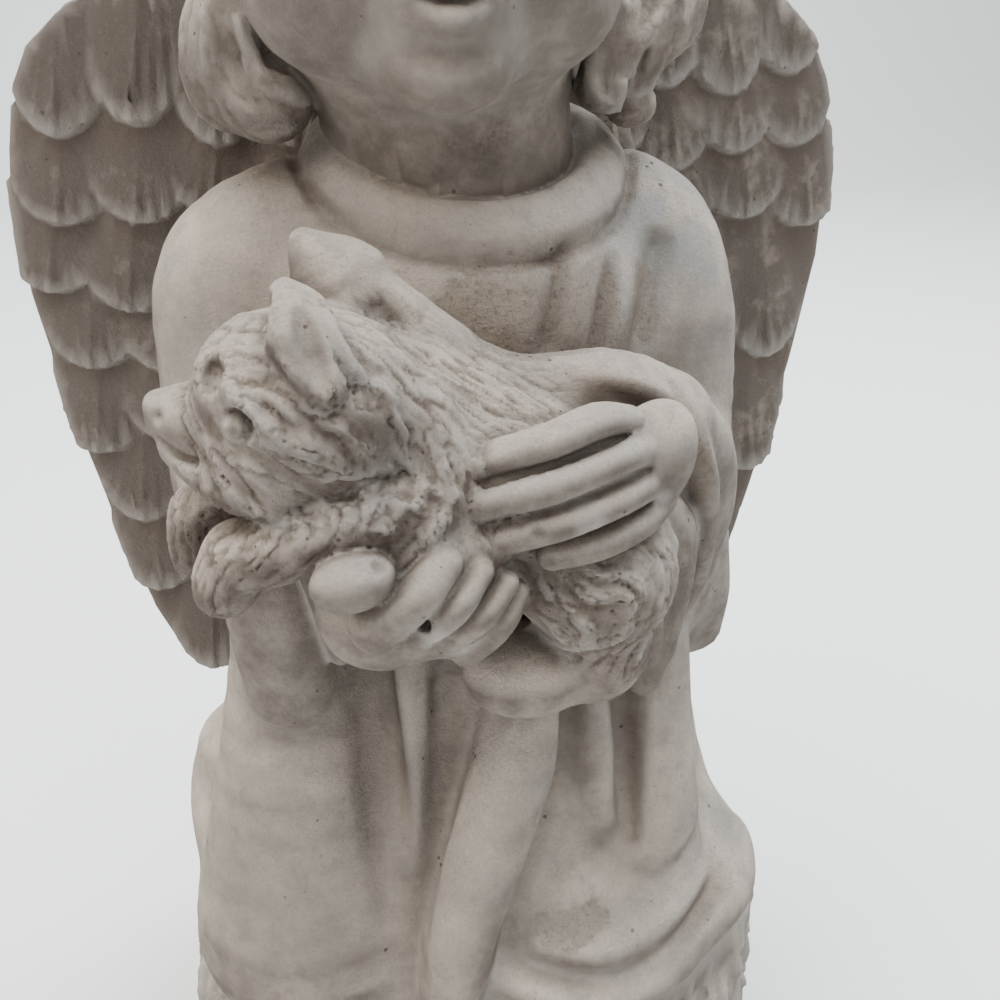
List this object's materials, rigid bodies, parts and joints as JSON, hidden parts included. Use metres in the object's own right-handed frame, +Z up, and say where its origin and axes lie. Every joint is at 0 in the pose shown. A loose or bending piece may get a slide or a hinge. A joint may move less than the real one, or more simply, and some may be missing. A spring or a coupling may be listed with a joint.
{
  "type": "cherub garden statue",
  "caption": "Cast concrete garden statue of a winged child in a long robe, holding a small furry puppy in both hands, on a low rough rock foot.",
  "frame": {"origin": "on the flat underside, below the middle of the figure's neck", "axes": "+Z up, the figure faces -Y, +X is the figure's own left"},
  "size_m": [0.2365, 0.1835, 0.3987],
  "materials": {
    "cast_concrete": "weathered sandy cast concrete, matt, with pinholes and brown stains in the hollows"
  },
  "bodies": {
    "root": {"cherub_statue": "cast_concrete"}
  },
  "joints": []
}
